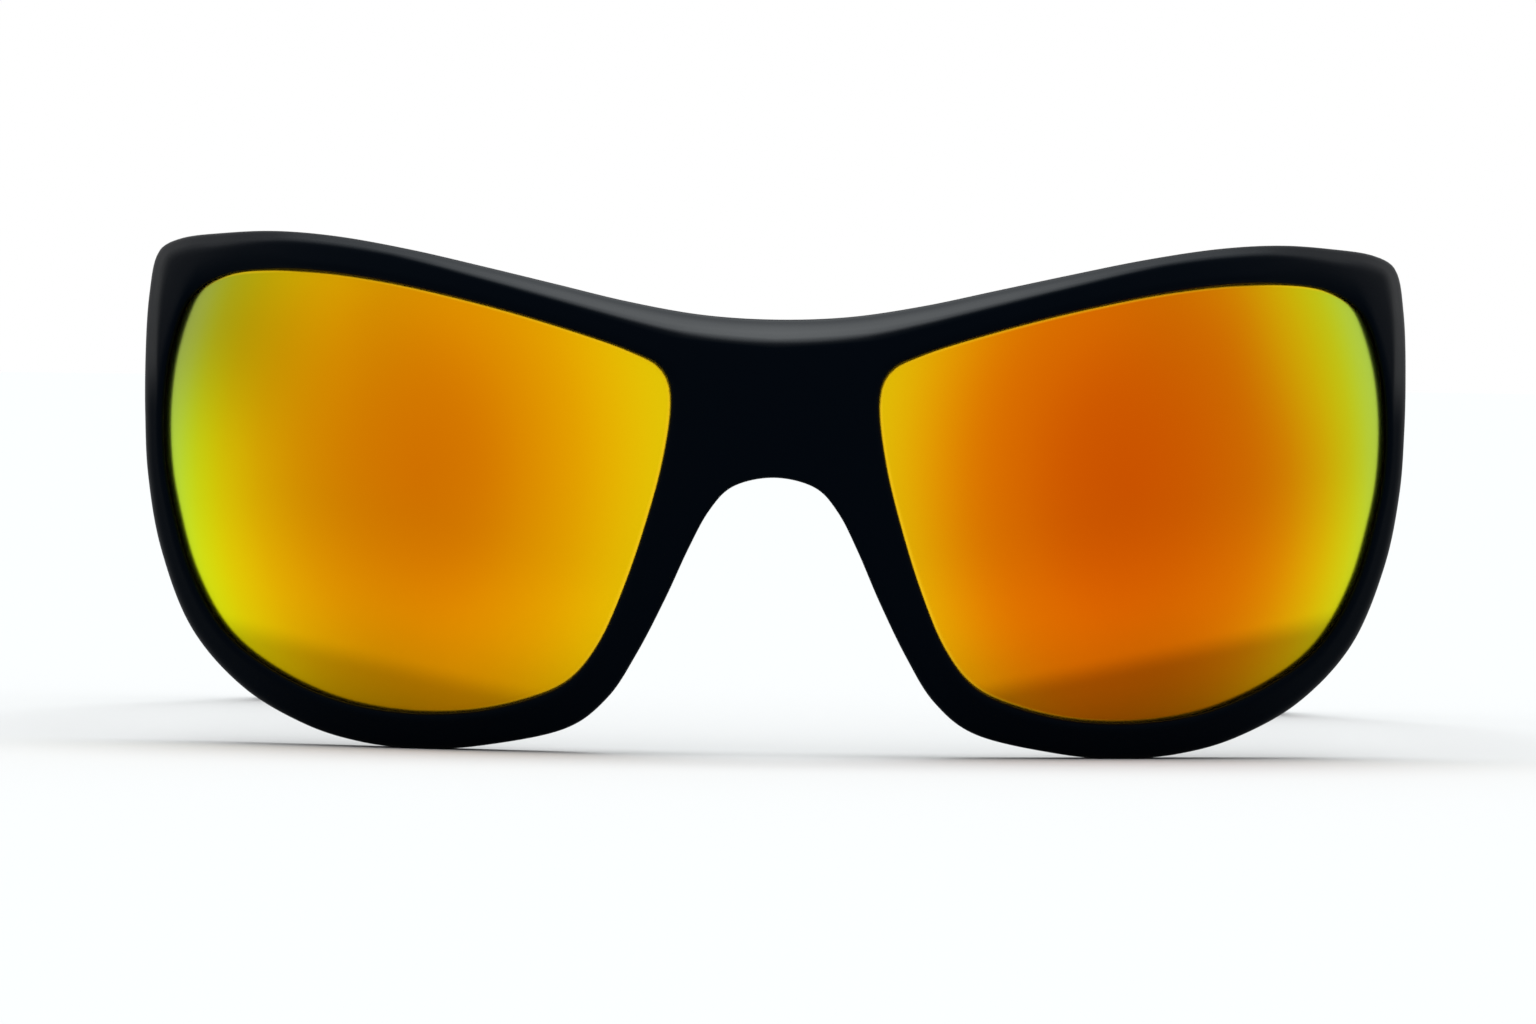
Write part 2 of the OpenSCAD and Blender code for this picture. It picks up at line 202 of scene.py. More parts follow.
def weld(obj, outward=True):
    """Merges doubled points and, if asked, turns the faces outwards."""
    only(obj)
    bpy.ops.object.mode_set(mode="EDIT")
    bpy.ops.mesh.select_all(action="SELECT")
    bpy.ops.mesh.remove_doubles(threshold=SAME * MM)
    if outward:
        bpy.ops.mesh.normals_make_consistent(inside=False)
    bpy.ops.object.mode_set(mode="OBJECT")
    return obj


def mirror(obj):
    """Turns a piece into the one for the other side."""
    only(obj)
    bpy.ops.object.mode_set(mode="EDIT")
    bpy.ops.mesh.select_all(action="SELECT")
    bpy.ops.transform.mirror(constraint_axis=(True, False, False), center_override=(0, 0, 0))
    bpy.ops.mesh.flip_normals()
    bpy.ops.object.mode_set(mode="OBJECT")
    return obj


def for_side(obj, side):
    """A piece modelled for the wearer's left (side 1), as it is or mirrored."""
    return obj if side > 0 else mirror(obj)


def close_ends(obj):
    """Caps every open edge loop."""
    only(obj)
    bpy.ops.object.mode_set(mode="EDIT")
    bpy.ops.mesh.select_mode(type="EDGE")
    bpy.ops.mesh.select_all(action="DESELECT")
    bpy.ops.mesh.select_non_manifold()
    bpy.ops.mesh.edge_face_add()
    bpy.ops.mesh.select_mode(type="VERT")
    bpy.ops.object.mode_set(mode="OBJECT")
    return obj


def smooth(obj):
    only(obj)
    bpy.ops.object.shade_smooth_by_angle(angle=math.radians(50))
    return obj


def modify(obj, kind, **values):
    """Adds a modifier and applies it."""
    only(obj)
    m = obj.modifiers.new(kind.title(), kind)
    for k, v in values.items():
        setattr(m, k, v)
    bpy.ops.object.modifier_apply(modifier=m.name)
    return obj


def rounded_ring(share, half_u, half_v, radius, corner=6):
    """Points round a rectangle with round corners; share runs from 0 to 1, (4 * (corner + 1)) steps round."""
    count = 4 * (corner + 1)
    k = np.round(share * count).astype(int) % count
    quarter, step = k // (corner + 1), k % (corner + 1)
    angle = (quarter + step / corner) * math.pi / 2
    radius = np.minimum(radius, np.minimum(half_u, half_v) - 1e-3)
    sign_u = np.where((quarter == 0) | (quarter == 3), 1, -1)
    sign_v = np.where(quarter < 2, 1, -1)
    return (sign_u * (half_u - radius) + np.cos(angle) * radius,
            sign_v * (half_v - radius) + np.sin(angle) * radius)


# ---------------------------------------------------------------- the front

def bow(x, z, depth):
    """How far back the bowed front lies at x and z, at this depth under the lens surface."""
    u = np.maximum(np.abs(x) - BRIDGE_OUT, 0)
    return LENS_R - np.sqrt(np.maximum((LENS_R - depth) ** 2 - u ** 2 - (z - DOME_Z) ** 2, 1))


RINGS = np.array([0, 0.05, 0.13, 0.25, 0.42, 0.65, 0.95])     # rows near an edge, in from it
ROWS = 20                                                    # rows of faces across a rim
NARROW = 0.34                                                # most of a rim's width that the edge rows take


def ring_shares(width):
    """Places of the rows across a rim of these widths, close together at both edges."""
    k = len(RINGS)
    fit = np.minimum(1, NARROW * width / RINGS[-1])[:, None]
    near = RINGS[None, :] * fit / width[:, None]
    inner = np.linspace(0, 1, ROWS + 3 - 2 * k)[1:-1]
    middle = near[:, -1:] + (1 - 2 * near[:, -1:]) * inner[None, :]
    return np.hstack([near, middle, 1 - near[:, ::-1]])


# One rim, as rows of points from the outline in to the opening, from the brow round to the nose
lengths = arc_lengths(half_outline)
branch_top = nearest(np.array([[9.5, 48.0]]), half_outline)[1][0]
branch_low = nearest(np.array([[5.9, 28.1]]), half_outline)[1][0]
RIM_STEPS = 330
rim_at = np.linspace(branch_top, branch_low, RIM_STEPS + 1)
rim_outer = along(half_outline, rim_at)
opening_at = nearest(rim_outer, opening_line)[1]
opening_length = arc_lengths(opening_line)[-1]
rim_inner = along(opening_line, opening_at)
rim_width = np.linalg.norm(rim_outer - rim_inner, axis=1)
rim_rows = ring_shares(rim_width)
rim_grid = rim_outer[:, None] + (rim_inner - rim_outer)[:, None] * rim_rows[..., None]

# The bridge, from the middle out to the first and last sections of the rim
SIDE_ROWS = 14
BRIDGE_COLUMNS = 22
BRIDGE_HALF = 12.0                       # from the middle of the bridge to a rim
BRIDGE_TOP, BRIDGE_LOW = 6.2, 5.4        # height of the edge rows at the middle of the bridge
high_at, low_at = opening_at[0], opening_at[-1]
if low_at > high_at:
    low_at -= opening_length
side_line = along(opening_line, np.linspace(high_at, low_at, SIDE_ROWS + 1) % opening_length)
bridge_right = np.vstack([rim_grid[0], side_line[1:-1], rim_grid[-1][::-1]])
high_z = FRONT_HALF[0][1] - rim_rows[0] * BRIDGE_TOP
low_z = FRONT_HALF[-1][1] + rim_rows[-1] * BRIDGE_LOW
middle_z = np.concatenate([high_z, np.linspace(high_z[-1], low_z[-1], SIDE_ROWS + 1)[1:-1], low_z[::-1]])
bridge_left = np.stack([np.zeros_like(middle_z), middle_z], axis=1)
column_share = np.concatenate([np.linspace(0, 1 - 1.4 / BRIDGE_HALF, BRIDGE_COLUMNS + 1 - len(RINGS)),
                               1 - RINGS[::-1] / BRIDGE_HALF])
bridge_top = along(half_outline, column_share * branch_top)
bridge_low = along(half_outline, lengths[-1] - column_share * (lengths[-1] - branch_low))


def patch(u, v, left, right, top, low):
    """A sheet stretched between four edge lines; u runs left to right and v top to bottom."""
    cols, rows = len(top) - 1, len(left) - 1
    i, j = np.round(u * cols).astype(int), np.round(v * rows).astype(int)
    s = (arc_lengths(top) / arc_lengths(top)[-1])[i][:, None]
    t_left = arc_lengths(left) / arc_lengths(left)[-1]
    t_right = arc_lengths(right) / arc_lengths(right)[-1]
    t = (t_left[j] * (1 - s[:, 0]) + t_right[j] * s[:, 0])[:, None]
    return ((1 - s) * left[j] + s * right[j] + (1 - t) * top[i] + t * low[i]
            - (1 - s) * (1 - t) * left[0] - s * (1 - t) * right[0]
            - (1 - s) * t * left[-1] - s * t * right[-1])


def flat(xz):
    """Points in the plane of the front, before it is bowed."""
    return np.stack([xz[:, 0], np.zeros(len(xz)), xz[:, 1]], axis=1)


def rim_place(u, v):
    return flat(rim_grid[np.round(u * RIM_STEPS).astype(int), np.round(v * ROWS).astype(int)])


def bridge_place(u, v):
    return flat(patch(u, v, bridge_left, bridge_right, bridge_top, bridge_low))


def edge_round(distance, width, drop):
    """Depth of an edge rounded over a width, as a quarter of an ellipse."""
    t = np.clip(1 - distance / width, 0, 1)
    return drop * (1 - np.sqrt(1 - t ** 2))


# The brow's bevel: its width and depth at these places, from the nose to the outer corner
BREAK_X = [0, 10, 19, 42, 54, 62, 70]
BEVEL_WIDE = [2.7, 2.5, 1.9, 1.0, 1.1, 1.6, 1.5]
BEVEL_DEEP = [2.2, 2.0, 1.5, 0.8, 0.9, 1.3, 1.2]
BEVEL_BREAK = 0.12                      # how softly it turns into the face
BROW_Z = (36, 43)                       # the brow starts between these heights
EDGE = (0.7, 0.6)                       # width and depth of the other outer edges
BROW_EDGE = (0.25, 0.25)
RIM_EDGE = (0.9, 0.85)                  # edges round the lens opening, front and back
REAR_RIM_EDGE = (0.5, 0.4)
CORNER_EDGE = (1.9, 0.1)                # what the front one gains at the top outer corner


def front_depth(x, z, d_out, d_in):
    """Depth of the front face: a bevel along the brow, widest over the nose, and a soft edge elsewhere."""
    x = np.abs(x)
    high = ease(*BROW_Z, z)
    wide, deep = np.interp(x, BREAK_X, BEVEL_WIDE), np.interp(x, BREAK_X, BEVEL_DEEP)
    slope = deep * (1 - d_out / wide)
    bevel = (0.5 * (slope + np.sqrt(slope ** 2 + BEVEL_BREAK ** 2)) - 0.5 * BEVEL_BREAK
             + edge_round(d_out, *BROW_EDGE))
    outer = edge_round(d_out, *EDGE) * (1 - high) + bevel * high
    corner = ease(52, 59, x) * (1 - ease(63, 66, x)) * ease(43, 47, z)
    inner = edge_round(d_in, RIM_EDGE[0] + CORNER_EDGE[0] * corner, RIM_EDGE[1] + CORNER_EDGE[1] * corner)
    return -LIP_FRONT + np.maximum(outer, inner)


def back_depth(x, z, d_out, d_in):
    return LENS_T + LIP_BACK - np.maximum(edge_round(d_out, *EDGE), edge_round(d_in, *REAR_RIM_EDGE))


def paint(obj, name, values):
    """Keeps one number for each point of a mesh, for its finish to read."""
    obj.data.attributes.new(name, "FLOAT", "POINT").data.foreach_set("value", np.array(values, np.float32))


def polish(x, z, d_out):
    """How polished the front is: 1 on the brow's bevel over the nose, fading towards the outer corners."""
    x = np.abs(x)
    wide = np.interp(x, BREAK_X, BEVEL_WIDE)
    band = (0.4 + 0.6 * ease(0, 0.5 * wide, d_out)) * (1 - ease(0.65 * wide, 1.1 * wide, d_out))
    bevel = ease(*BROW_Z, z) * band * np.interp(x, [0, 25, 45, 58], [1, 0.7, 0.18, 0.07])
    reach = np.interp(z, [36, 44, 50], [0.9, 2.2, 4.0])
    corner = 0.055 * ease(50, 64, x) * ease(33, 46, z) * (1 - ease(0.2 * reach, reach, d_out))
    return np.maximum(bevel, corner)


def front_sheet(name, depth_of):
    """The front's face or its back: both rims and the bridge as one bowed sheet."""
    rim = sheet(name, RIM_STEPS, ROWS, rim_place)
    bridge = sheet(name + "_bridge", len(bridge_top) - 1, len(bridge_left) - 1, bridge_place)
    half = weld(join(rim, bridge), outward=False)
    p = get_points(half)
    xz = p[:, [0, 2]]
    d_out, d_in = nearest(xz, whole_outline)[0], nearest(xz, opening_line)[0]
    p[:, 0] = np.where(p[:, 0] < 1e-4, 0, p[:, 0])
    p[:, 1] = bow(p[:, 0], p[:, 2], depth_of(p[:, 0], p[:, 2], d_out, d_in))
    set_points(half, p)
    modify(half, "MIRROR", use_axis=(True, False, False), merge_threshold=SAME * MM)
    return half


def bridge_walls(obj, line, side=1):
    """Joins the face and the back along one outline; side -1 takes its mirror."""
    only(obj)
    bpy.ops.object.mode_set(mode="EDIT")
    bpy.ops.mesh.select_mode(type="EDGE")
    bpy.ops.mesh.select_all(action="DESELECT")
    bpy.ops.mesh.select_non_manifold()
    bpy.ops.object.mode_set(mode="OBJECT")
    near = nearest(get_points(obj)[:, [0, 2]] * (side, 1), line)[0] < 0.01
    for e in obj.data.edges:
        e.select = bool(e.select and near[e.vertices[0]] and near[e.vertices[1]])
    bpy.ops.object.mode_set(mode="EDIT")
    bpy.ops.mesh.bridge_edge_loops()
    bpy.ops.mesh.select_mode(type="VERT")
    bpy.ops.object.mode_set(mode="OBJECT")


def make_front():
    body = join(front_sheet("front", front_depth), front_sheet("front_rear", back_depth))
    bridge_walls(body, whole_outline)
    bridge_walls(body, opening_line)
    bridge_walls(body, opening_line, -1)
    weld(body)
    p = get_points(body)
    p[:, 2] = np.minimum(p[:, 2], FRONT_H)
    set_points(body, p)
    near_front = p[:, 1] < bow(p[:, 0], p[:, 2], 0.5 * LENS_T)
    d_out = nearest(p[:, [0, 2]], whole_outline)[0]
    paint(body, "polish", polish(p[:, 0], p[:, 2], d_out) * near_front)
    return body


def block(name, rings, corner=6):
    """A closed bar through rounded rectangles, each (y, low x, high x, low z, high z, corner radius)."""
    table = np.array(rings, float)

    def place(u, v):
        k = np.round(v * (len(table) - 1)).astype(int)
        y, x0, x1, z0, z1, r = table[k].T
        a, b = rounded_ring(u, (x1 - x0) / 2, (z1 - z0) / 2, r, corner)
        return np.stack([(x0 + x1) / 2 + a, y, (z0 + z1) / 2 + b], axis=1)

    return weld(close_ends(weld(sheet(name, 4 * (corner + 1), len(rings) - 1, place), outward=False)))


LEAN = 1.3                              # how far in the outer face lies at its top


def lean(obj, start, length):
    """Leans the outer face inwards towards its top, less and less over a length."""
    p = get_points(obj)
    fade = 1 - ease(start, start + length, p[:, 1])
    p[:, 0] -= LEAN * ease(43, FRONT_H - 0.2, p[:, 2]) * ease(SEAT_X, HALF_W - 0.5, p[:, 0]) * fade
    set_points(obj, p)
    return obj


def end_piece(side):
    """The block that reaches back from a rim to its temple, running into the rim at its front."""
    # Each row: distance ahead of the joint, how far in each side lies (inner, outer, low, top), corner radius
    piece = block("end_piece", [
        (JOINT_Y - ahead, SEAT_X + inner, HALF_W - outer, END_LOW + low, END_TOP - top, radius)
        for ahead, inner, outer, low, top, radius in (
            (8.6, 0.5, 0.9, 0.8, 0.7, 1.5), (6.2, 0.2, 0.8, 0.4, 0.5, 1.5), (5.2, 0.1, 0.75, 0.2, 0.4, 1.5),
            (4.4, 0, 0.65, 0.1, 0.3, 1.5), (3.6, 0, 0.45, 0, 0.15, 1.5), (2.8, 0, 0.2, 0, 0.05, 1.5),
            (2.0, 0, 0.05, 0, 0, 1.5), (1.2, 0, 0, 0, 0, 1.5), (0.45, 0, 0, 0, 0, 1.5),
            (0.2, 0.04, 0.04, 0.04, 0.04, 1.5), (0.06, 0.14, 0.14, 0.14, 0.14, 1.4),
            (0, 0.35, 0.35, 0.35, 0.35, 1.2))])
    lean(piece, JOINT_Y + 1, 1)
    p = get_points(piece)
    behind_lens = bow(p[:, 0], p[:, 2], LENS_T + 0.25)
    p[:, 1] = np.maximum(p[:, 1], behind_lens)
    set_points(piece, p)
    return for_side(piece, side)


# ---------------------------------------------------------------- lenses

def grown(line, d):
    """A closed clockwise line moved outwards."""
    p = line[:-1]
    v = np.roll(p, -1, axis=0) - np.roll(p, 1, axis=0)
    v /= np.linalg.norm(v, axis=1)[:, None]
    q = p + np.stack([-v[:, 1], v[:, 0]], axis=1) * d
    return np.vstack([q, q[:1]])


LENS_ROUND = 288
LENS_RINGS = 44
LENS_MIDDLE = np.array([39.5, 28.5])
# Rings of points near the lens's edge, out from the opening
EDGE_RINGS = [GROOVE, 0.4, 0.1, -0.02, -0.14, -0.28, -0.45, -0.7, -1.0, -1.4]
lens_rings = [along(r, np.linspace(0, arc_lengths(r)[-1], LENS_ROUND + 1))
              for r in (grown(opening_line, d) for d in EDGE_RINGS)]
lens_rings += [LENS_MIDDLE + (lens_rings[-1] - LENS_MIDDLE) * k for k in np.linspace(1, 0, LENS_RINGS)[1:]]
lens_rings = np.array(lens_rings)


def lens_sheet(name, depth):
    """One face of a lens: rings from its edge to its middle, on the sphere."""
    def place(u, v):
        i = np.round(u * LENS_ROUND).astype(int)
        k = np.round(v * (len(lens_rings) - 1)).astype(int)
        xz = lens_rings[k, i]
        y = LENS_R - np.sqrt((LENS_R - depth) ** 2 - (xz[:, 0] - BRIDGE_OUT) ** 2 - (xz[:, 1] - DOME_Z) ** 2)
        return np.stack([xz[:, 0], y, xz[:, 1]], axis=1)

    return weld(sheet(name, LENS_ROUND, len(lens_rings) - 1, place), outward=False)


def bow_depth(p):
    """How deep each point lies under the lens surface."""
    u = p[:, 0] - BRIDGE_OUT
    return LENS_R - np.sqrt((LENS_R - p[:, 1]) ** 2 + u ** 2 + (p[:, 2] - DOME_Z) ** 2)


def make_lens():
    both = only(join(lens_sheet("lens", 0), lens_sheet("lens_rear", LENS_T)))
    bpy.ops.object.mode_set(mode="EDIT")
    bpy.ops.mesh.select_mode(type="EDGE")
    bpy.ops.mesh.select_all(action="DESELECT")
    bpy.ops.mesh.select_non_manifold()
    bpy.ops.mesh.bridge_edge_loops()
    bpy.ops.mesh.select_mode(type="VERT")
    bpy.ops.object.mode_set(mode="OBJECT")
    weld(both)
    p = get_points(both)
    # Painted highlight: a thin bright line along the lens's edge, kept on the points for the coating to read
    paint(both, "edge_highlight", 1 - ease(0.14, 0.4, nearest(p[:, [0, 2]], opening_line)[0]))
    rear = bow_depth(p) > 0.6 * LENS_T
    for face in both.data.polygons:
        face.material_index = int(all(rear[v] for v in face.vertices))
    return both


# ---------------------------------------------------------------- temples

TEMPLE_Y = JOINT_Y + 0.3
BEND_Y = TEMPLE_Y + TEMPLE_L
GRIP_Y = BEND_Y - GRIP_LAP
TIP_Y = BEND_Y + HOOK_L - TIP_R
BEND_Z = HINGE_Z - 9.5
# Side view as (y, z, half height), plan view as (y, x, half thickness)
SIDE = open_curve([(TEMPLE_Y, HINGE_Z, 7.8), (TEMPLE_Y + 15.2, HINGE_Z - 1.2, 6.9),
                   (TEMPLE_Y + 31.9, HINGE_Z - 2.6, 5.9), (TEMPLE_Y + 48.6, HINGE_Z - 4.4, 5.2),
                   (TEMPLE_Y + 63.8, HINGE_Z - 6.8, 4.7), (BEND_Y, BEND_Z, 4.4),
                   (BEND_Y + 9.24, BEND_Z * 0.84, 4.3), (BEND_Y + 18.48, BEND_Z * 0.6, 4.3),
                   (BEND_Y + 28.56, BEND_Z * 0.33, 4.3), (TIP_Y, TIP_R, TIP_R)], 16)
PLAN = open_curve([(TEMPLE_Y, 67.75, 2.25), (TEMPLE_Y + 22.8, 67.95, 1.95), (TEMPLE_Y + 53.2, 67.35, 1.9),
                   (BEND_Y, 65.95, 2.1), (BEND_Y + 21, 62.55, 2.1), (BEND_Y + HOOK_L + 1, 58.15, 2.1)], 16)


side_lengths = arc_lengths(SIDE)
NUDGE = 0.2                             # half the length that a path's direction is read over


def place_of(y):
    """Length along the temple's path where its centre line has this y."""
    return float(np.interp(y, SIDE[:, 0], side_lengths))


def path_at(places):
    """Rows (y, z, half height) and directions (y, z) of the temple's path at these lengths."""
    way = (along(SIDE, places + NUDGE) - along(SIDE, places - NUDGE))[:, :2]
    return along(SIDE, places), way / np.linalg.norm(way, axis=1)[:, None]


def bar_along(name, centre, way, insets, radius, corner=6):
    """A bar through sections square to its path, each thinner by its inset, its ends capped."""
    def place(u, v):
        k = np.round(v * (len(centre) - 1)).astype(int)
        y, z, half = centre[k].T
        half = half - insets[k]
        thick = np.interp(y, PLAN[:, 0], PLAN[:, 2]) - insets[k]
        a, b = rounded_ring(u, thick, half, radius, corner)
        y, z = y - way[k, 1] * b, z + way[k, 0] * b
        return np.stack([np.interp(y, PLAN[:, 0], PLAN[:, 1]) + a, y, z], axis=1)

    return weld(close_ends(weld(sheet(name, 4 * (corner + 1), len(centre) - 1, place), outward=False)))


PANEL_MARGIN = 9.0                      # from a temple's end to its sunk panel
PANEL_LEDGE, PANEL_DEEP = 0.5, 0.35


def recess(bar, start, end):
    """Sinks a shallow panel into the outer face of a temple."""
    only(bar)
    bpy.ops.object.mode_set(mode="EDIT")
    bpy.ops.mesh.select_mode(type="FACE")
    bpy.ops.mesh.select_all(action="DESELECT")
    bpy.ops.object.mode_set(mode="OBJECT")
    # Only the wide flat faces, not the narrow ones of the rounded edges
    for face in bar.data.polygons:
        flat_side = face.normal.x > 0.97 and face.area > 4 * MM ** 2
        face.select = flat_side and start < face.center.y / MM - SHIFT_Y < end
    bpy.ops.object.mode_set(mode="EDIT")
    bpy.ops.mesh.inset(thickness=PANEL_LEDGE * MM, depth=0)
    bpy.ops.mesh.inset(thickness=PANEL_DEEP * MM, depth=-PANEL_DEEP * MM)
    bpy.ops.mesh.select_mode(type="VERT")
    bpy.ops.object.mode_set(mode="OBJECT")


BAR_ROWS = 52
BAR_END = np.array([0, 0.05, 0.2, 0.45])            # rows of a rounded end, in from it
BAR_END_INSET = np.array([0.35, 0.16, 0.04, 0])
SEAT_T, SEAT_L, SEAT_HALF = 1.3, 8.3, 5.5           # the step that the hinge leaf lies on


def make_temple(side):
    start, end = place_of(TEMPLE_Y), place_of(GRIP_Y)
    places = np.concatenate([start + BAR_END, np.linspace(start + 1.2, end - 1.2, BAR_ROWS),
                             end - BAR_END[::-1]])
    insets = np.concatenate([BAR_END_INSET, np.zeros(BAR_ROWS), BAR_END_INSET[::-1]])
    bar = lean(bar_along("temple", *path_at(places), insets, 1.3), TEMPLE_Y, 36)
    recess(bar, TEMPLE_Y + PANEL_MARGIN, GRIP_Y - PANEL_MARGIN)
    seat = block("hinge_seat", [(y, SEAT_X, SEAT_X + SEAT_T, HINGE_Z - SEAT_HALF, HINGE_Z + SEAT_HALF, 0.3)
                                for y in (TEMPLE_Y + 0.02, TEMPLE_Y + SEAT_L)], 2)
    return for_side(join(bar, seat), side)


RIB_PITCH, RIB_DEEP = 2.1, 0.28
RIBS_FROM, RIBS_TO = 12, 40             # along the grip from its front end
GRIP_ROWS = 220
TIP_ROWS = 12
GRIP_END = np.array([0.03, 0.08, 0.22, 0.5])
GRIP_END_INSET = np.array([0.38, 0.18, 0.05, 0])
EYELET_CUT = 12.0


def make_grip(side):
    start, end = place_of(GRIP_Y), side_lengths[-1]
    body = np.linspace(start + 1.2, end, GRIP_ROWS)
    pulse = ease(-0.1, 0.7, np.cos((body - start) * 2 * math.pi / RIB_PITCH))
    ribbed = (ease(start + RIBS_FROM, start + RIBS_FROM + 2, body)
              * (1 - ease(start + RIBS_TO - 2, start + RIBS_TO, body)))
    centre, way = path_at(np.concatenate([start + GRIP_END, body]))
    # The round tip goes on past the end of the path
    past = TIP_R * np.sin(np.linspace(0, 1, TIP_ROWS)[1:] * math.pi / 2) * 0.995
    tip = np.stack([centre[-1, 0] + way[-1, 0] * past, centre[-1, 1] + way[-1, 1] * past,
                    np.sqrt(np.maximum(TIP_R ** 2 - past ** 2, 0.0036))], axis=1)
    insets = np.concatenate([GRIP_END_INSET, RIB_DEEP * pulse * ribbed, np.zeros(len(tip))])
    way = np.vstack([way, np.repeat(way[-1:], len(tip), 0)])
    piece = bar_along("ear_grip", np.vstack([centre, tip]), way, insets, 1.6)
    x = float(np.interp(TIP_Y, PLAN[:, 0], PLAN[:, 1]))
    bpy.ops.object.select_all(action="DESELECT")
    bpy.ops.mesh.primitive_cylinder_add(vertices=40, radius=EYELET_R * MM, depth=EYELET_CUT * MM,
                                        location=(x * MM, (TIP_Y + SHIFT_Y) * MM, TIP_R * MM),
                                        rotation=(0, math.pi / 2, 0))
    cutter = bpy.context.object
    bpy.ops.object.transform_apply(location=True, rotation=True, scale=True)
    modify(piece, "BOOLEAN", object=cutter, operation="DIFFERENCE", solver="EXACT")
    bpy.data.objects.remove(cutter)
    return for_side(piece, side)


# ---------------------------------------------------------------- nose pads

PAD_T, PAD_D, PAD_L = 1.9, 6.0, 15.0
PAD_IN, PAD_ROOT = 0.3, 4.0             # from the nose line out to the pad, from the wing's root back to it
WING_T, WING_ROOT, WING_PAST = 1.5, 3.0, 0.4
WING_START = 0.3                        # where the wing begins, back from its root line
PEG_R, PEG_L = 0.8, 2.6
PAD_SQUARE = 3.2                        # 2 is a plain ellipsoid, more is squarer
PAD_TAPER = 0.12
NOSE_TOP, NOSE_LOW = np.array([8.6, 24.0]), np.array([15.2, 10.0])
nose_mid = (NOSE_TOP + NOSE_LOW) / 2
nose_lean = math.atan2(NOSE_TOP[0] - NOSE_LOW[0], NOSE_TOP[1] - NOSE_LOW[1])
FLARE = math.radians(20)


def at_nose_side(points):
    """From a pad's own axes to the lens apex frame."""
    def turned(a, b, angle):
        return a * math.cos(angle) + b * math.sin(angle), -a * math.sin(angle) + b * math.cos(angle)

    x, y, z = points.T
    x, y = turned(x, y, FLARE)
    x, z = turned(x, z, nose_lean)
    return np.stack([nose_mid[0] + x, WING_ROOT + y, nose_mid[1] + z], axis=1)


def own_points(obj):
    """A mesh's points as they stand."""
    return np.array([v.co for v in obj.data.vertices])


def place_pad(obj):
    """Puts a piece made in a pad's own axes in its place."""
    set_points(obj, at_nose_side(own_points(obj)))
    return obj


def make_pad(side):
    bpy.ops.object.select_all(action="DESELECT")
    bpy.ops.mesh.primitive_uv_sphere_add(segments=64, ring_count=32, radius=1)
    pad = bpy.context.object
    pad.name = pad.data.name = "nose_pad"
    p = own_points(pad)
    scale = (np.abs(p) ** PAD_SQUARE).sum(1) ** (-1 / PAD_SQUARE)
    p = p * scale[:, None] * np.array([PAD_T / 2, PAD_D / 2, PAD_L / 2])
    p[:, 1] *= 1 - PAD_TAPER * (p[:, 2] / (PAD_L / 2)) ** 2
    p = p + np.array([PAD_IN + PAD_T / 2, PAD_ROOT + PAD_D / 2, 0])
    pad.data.vertices.foreach_set("co", p.ravel())
    pegs = []
    for z in (-PAD_L / 4, PAD_L / 4):
        bpy.ops.object.select_all(action="DESELECT")
        bpy.ops.mesh.primitive_cylinder_add(vertices=32, radius=PEG_R, depth=PEG_L,
                                            location=(PAD_IN + PAD_T + 0.2, PAD_ROOT + PAD_D / 2, z),
                                            rotation=(0, math.pi / 2, 0))
        bpy.ops.object.transform_apply(location=True, rotation=True, scale=True)
        pegs.append(bpy.context.object)
    return for_side(place_pad(join(pad, *pegs)), side)


def make_wing(side):
    """The lug inside a rim that carries the pad."""
    bpy.ops.object.select_all(action="DESELECT")
    bpy.ops.mesh.primitive_cube_add(size=1)
    wing = bpy.context.object
    wing.name = wing.data.name = "nose_wing"
    depth = PAD_ROOT + PAD_D + WING_PAST
    p = own_points(wing) * np.array([WING_T, depth - WING_START, PAD_L])
    p += np.array([PAD_IN + PAD_T + WING_T / 2, (depth + WING_START) / 2, 0])
    wing.data.vertices.foreach_set("co", p.ravel())
    modify(wing, "BEVEL", width=0.45, segments=4, limit_method="NONE")
    return for_side(place_pad(wing), side)


# ---------------------------------------------------------------- finishes

def grain_group():
    """Fine moulding grain: a height for a bump and a slow change of gloss."""
    g = bpy.data.node_groups.new("Fine grain", "ShaderNodeTree")
    g.interface.new_socket("Vector", in_out="INPUT", socket_type="NodeSocketVector")
    for name, value in (("Size", 2600.0), ("Low gloss", 0.35), ("High gloss", 0.5)):
        g.interface.new_socket(name, in_out="INPUT", socket_type="NodeSocketFloat").default_value = value
    g.interface.new_socket("Height", in_out="OUTPUT", socket_type="NodeSocketFloat")
    g.interface.new_socket("Roughness", in_out="OUTPUT", socket_type="NodeSocketFloat")
    a, z = g.nodes.new("NodeGroupInput"), g.nodes.new("NodeGroupOutput")
    fine = g.nodes.new("ShaderNodeTexNoise")
    fine.inputs["Detail"].default_value = 3
    slow = g.nodes.new("ShaderNodeTexNoise")
    slow.inputs["Scale"].default_value = 90
    slow.inputs["Detail"].default_value = 4
    spread = g.nodes.new("ShaderNodeMapRange")
    spread.inputs["From Min"].default_value, spread.inputs["From Max"].default_value = 0.3, 0.7
    g.links.new(a.outputs["Vector"], fine.inputs["Vector"])
    g.links.new(a.outputs["Size"], fine.inputs["Scale"])
    g.links.new(a.outputs["Vector"], slow.inputs["Vector"])
    g.links.new(slow.outputs[0], spread.inputs["Value"])
    g.links.new(a.outputs["Low gloss"], spread.inputs["To Min"])
    g.links.new(a.outputs["High gloss"], spread.inputs["To Max"])
    g.links.new(fine.outputs[0], z.inputs["Height"])
    g.links.new(spread.outputs[0], z.inputs["Roughness"])
    return g


fine_grain = grain_group()


